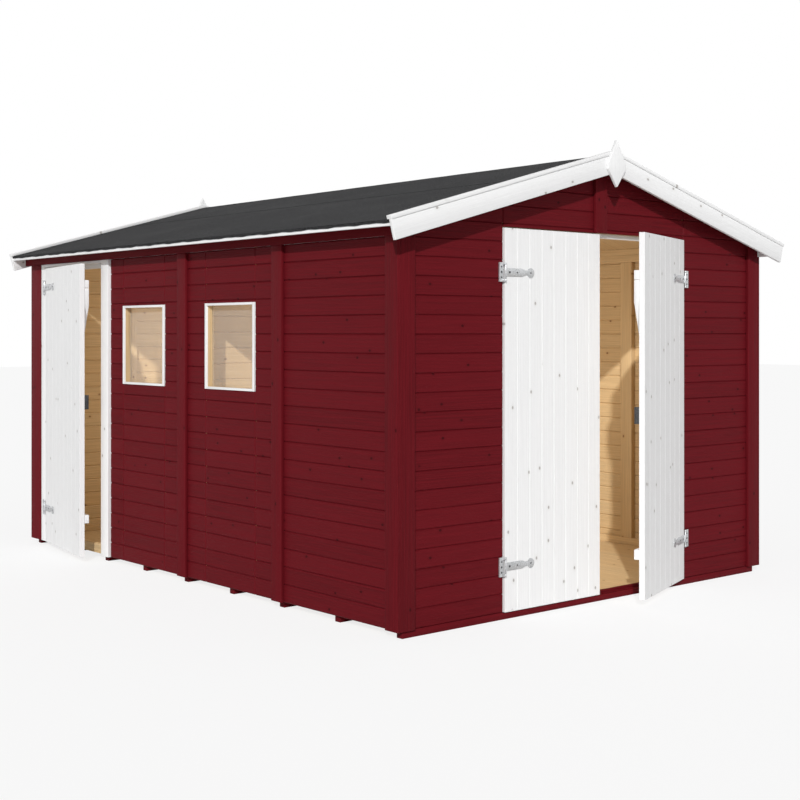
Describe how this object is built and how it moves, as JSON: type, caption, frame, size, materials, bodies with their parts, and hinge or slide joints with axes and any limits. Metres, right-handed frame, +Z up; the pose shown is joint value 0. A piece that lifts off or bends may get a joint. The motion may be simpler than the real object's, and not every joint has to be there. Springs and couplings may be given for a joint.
{
  "type": "garden shed",
  "caption": "Timber garden shed with a shallow gable roof, a double door in the front gable, a single door and windows in one long side, and a partition inside.",
  "frame": {"origin": "on the ground under the middle floor joist, at the centre of the plan", "axes": "+Z up, +Y along the ridge from the double-door gable to the back, +X towards the side without windows"},
  "size_m": [3.0217, 4.1015, 2.38],
  "materials": {
    "red_boards": "painted boards",
    "red_timber": "painted timber",
    "white_boards": "painted boards",
    "white_timber": "painted timber",
    "pine": "bare planed",
    "pine_floor": "bare planed",
    "felt": "mineral surface",
    "galvanised": "galvanised",
    "latch_metal": "satin black",
    "window_glass": "clear"
  },
  "bodies": {
    "shell": {"floor_joists": "red_timber", "floor_deck": "pine_floor", "front_threshold": "red_timber", "front_wall_left": "red_boards", "front_wall_right": "red_boards", "front_wall_gable": "red_boards", "back_wall": "red_boards", "right_wall": "red_boards", "left_wall_piers": "red_boards", "left_wall_panels": "red_boards", "left_wall_over_door": "red_boards", "left_wall_back": "red_boards", "left_wall_frame": "pine", "right_wall_frame": "pine", "front_wall_frame": "pine", "back_wall_frame": "pine", "partition_boards": "pine", "partition_studs": "pine", "corner_trims": "red_timber", "joint_strips": "red_timber", "eave_plates": "red_timber", "roof_purlins": "pine", "roof_boards_left": "pine", "roof_boards_right": "pine", "roof_felt_left": "felt", "roof_felt_right": "felt", "fascia_strips": "white_timber", "barge_boards_left": "white_timber", "barge_boards_right": "white_timber", "cap_strips_left": "white_timber", "cap_strips_right": "white_timber", "finials": "white_timber", "side_door_frame": "white_timber", "front_door_stops": "white_timber", "hinge_plates": "galvanised", "window_frames": "white_timber", "window_panes": "window_glass"},
    "front_left_door": {"front_left_leaf": "white_boards", "front_left_ledges": "white_timber", "front_left_straps": "galvanised", "front_keeper": "latch_metal"},
    "front_right_door": {"front_right_leaf": "white_boards", "front_right_ledges": "white_timber", "front_right_straps": "galvanised", "front_latch": "latch_metal"},
    "side_door": {"side_leaf": "white_boards", "side_ledges": "white_timber", "side_straps": "galvanised", "side_latch": "latch_metal"}
  },
  "joints": [
    {"name": "front_left_hinge", "type": "hinge", "parent": "shell", "child": "front_left_door", "pos_m": [-0.69775, -1.874, 0.971], "axis": [0, 0, 1], "range_deg": [-110, 0]},
    {"name": "front_right_hinge", "type": "hinge", "parent": "shell", "child": "front_right_door", "pos_m": [0.69775, -1.874, 0.971], "axis": [0, 0, 1], "range_deg": [-21.3, 88]},
    {"name": "side_hinge", "type": "hinge", "parent": "shell", "child": "side_door", "pos_m": [-1.397, 1.66625, 0.971], "axis": [0, 0, 1], "range_deg": [-100, 10]}
  ]
}
